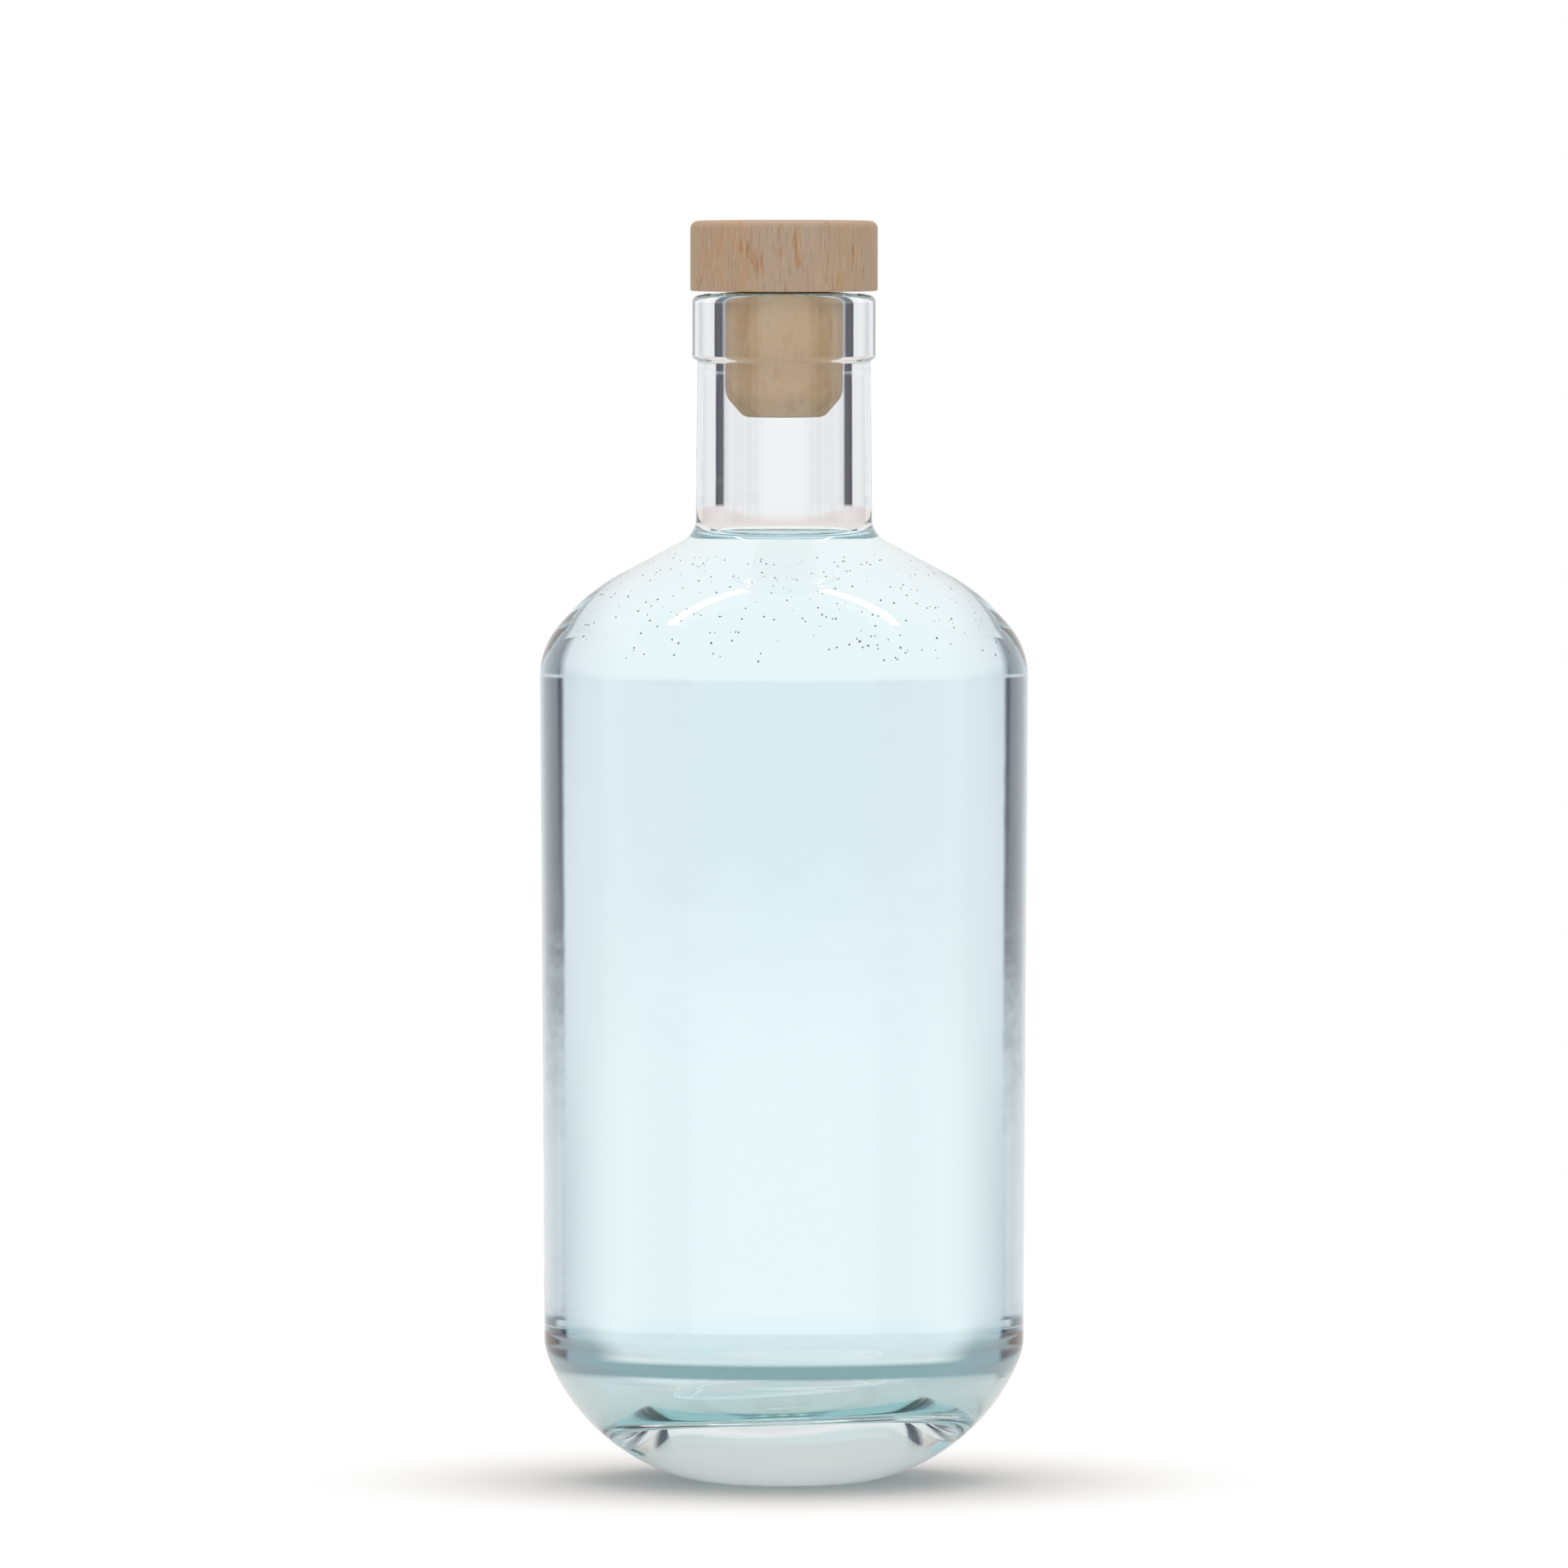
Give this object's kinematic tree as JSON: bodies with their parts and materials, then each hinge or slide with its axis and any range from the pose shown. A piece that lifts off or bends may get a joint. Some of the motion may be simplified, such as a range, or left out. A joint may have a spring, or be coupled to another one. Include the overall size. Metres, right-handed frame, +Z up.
{
  "type": "glass bottle with bar-top stopper",
  "caption": "Clear round-heeled glass bottle of pale blue liquid, with a ringed mouth and a lift-out stopper that has a turned wooden head.",
  "frame": {"origin": "on the bottle's axis, in the plane that its bearing ring stands on", "axes": "+Z up along the bottle's axis, towards the stopper; X and Y are free, because the bottle is round"},
  "size_m": [0.0782, 0.0782, 0.2019],
  "materials": {
    "glass": "clear, fire-polished",
    "liquid": "clear, pale blue",
    "wood": "fine-turned, matt",
    "cork": "moulded, matt"
  },
  "bodies": {
    "bottle": {"bottle": "glass", "liquid": "liquid"},
    "stopper": {"stopper_head": "wood", "stopper_shank": "cork"}
  },
  "joints": [
    {"name": "stopper_pull", "type": "slide", "parent": "bottle", "child": "stopper", "axis": [0, 0, 1], "range_m": [0, 0.03]}
  ]
}
